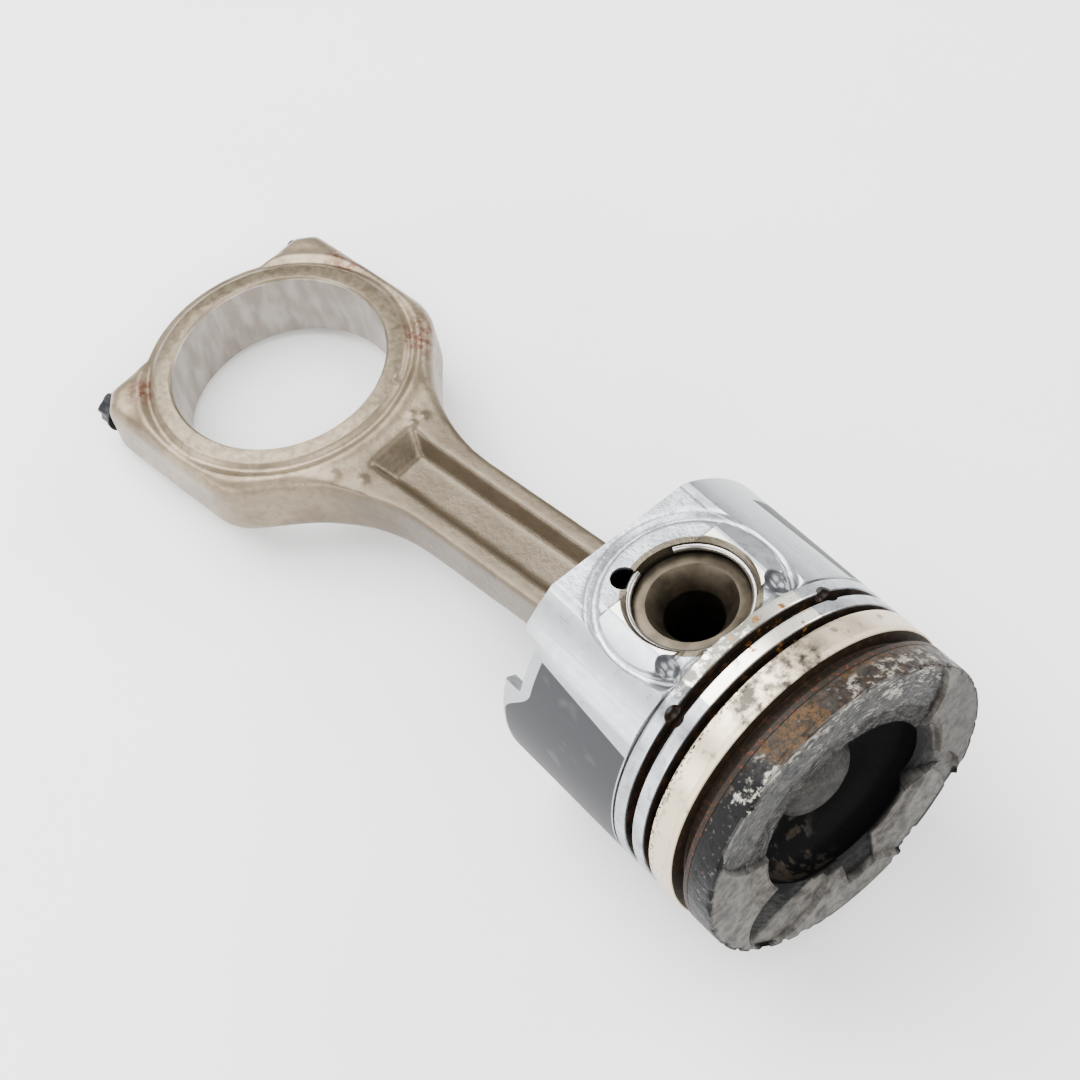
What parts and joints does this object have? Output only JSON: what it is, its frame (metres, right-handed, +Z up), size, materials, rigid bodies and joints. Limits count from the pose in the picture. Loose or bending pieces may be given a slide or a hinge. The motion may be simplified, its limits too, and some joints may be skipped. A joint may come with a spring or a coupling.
{
  "type": "engine piston with connecting rod",
  "caption": "Engine piston with a re-entrant bowl crown and empty ring grooves, pinned to a forged connecting rod that ends in a bolted, split big-end ring.",
  "frame": {"origin": "centre of the object's box at ground level, as it lies on its ring belt and big end", "axes": "+X from the rod's big end towards the piston's crown, +Z up, nearly along the gudgeon pin"},
  "size_m": [0.2508, 0.1064, 0.091],
  "materials": {
    "alloy": "cast and machined, sooted at the crown",
    "carrier_iron": "turned, rusted",
    "pin_steel": "ground, heat-stained",
    "spring_steel": "bright drawn wire",
    "forged_steel": "shot-blasted forging with light rust",
    "bush_bronze": "turned",
    "bolt_steel": "black oxide"
  },
  "bodies": {
    "piston": {"piston_body": "alloy", "ring_carrier": "carrier_iron", "circlip_front": "spring_steel", "circlip_rear": "spring_steel"},
    "rod": {"connecting_rod": "forged_steel", "rod_cap": "forged_steel", "cap_bolt_upper": "bolt_steel", "cap_bolt_lower": "bolt_steel", "small_end_bush": "bush_bronze"},
    "pin": {"gudgeon_pin": "pin_steel"}
  },
  "joints": [
    {"name": "rod_swing", "type": "hinge", "parent": "piston", "child": "rod", "pos_m": [0.0699, 0.01017, 0.04139], "axis": [-0.1553, -0.0305, 0.9874], "range_deg": [-44.91, 31.09]},
    {"name": "pin_spin", "type": "hinge", "parent": "piston", "child": "pin", "pos_m": [0.0699, 0.01017, 0.04139], "axis": [-0.1553, -0.0305, 0.9874], "continuous": true}
  ]
}
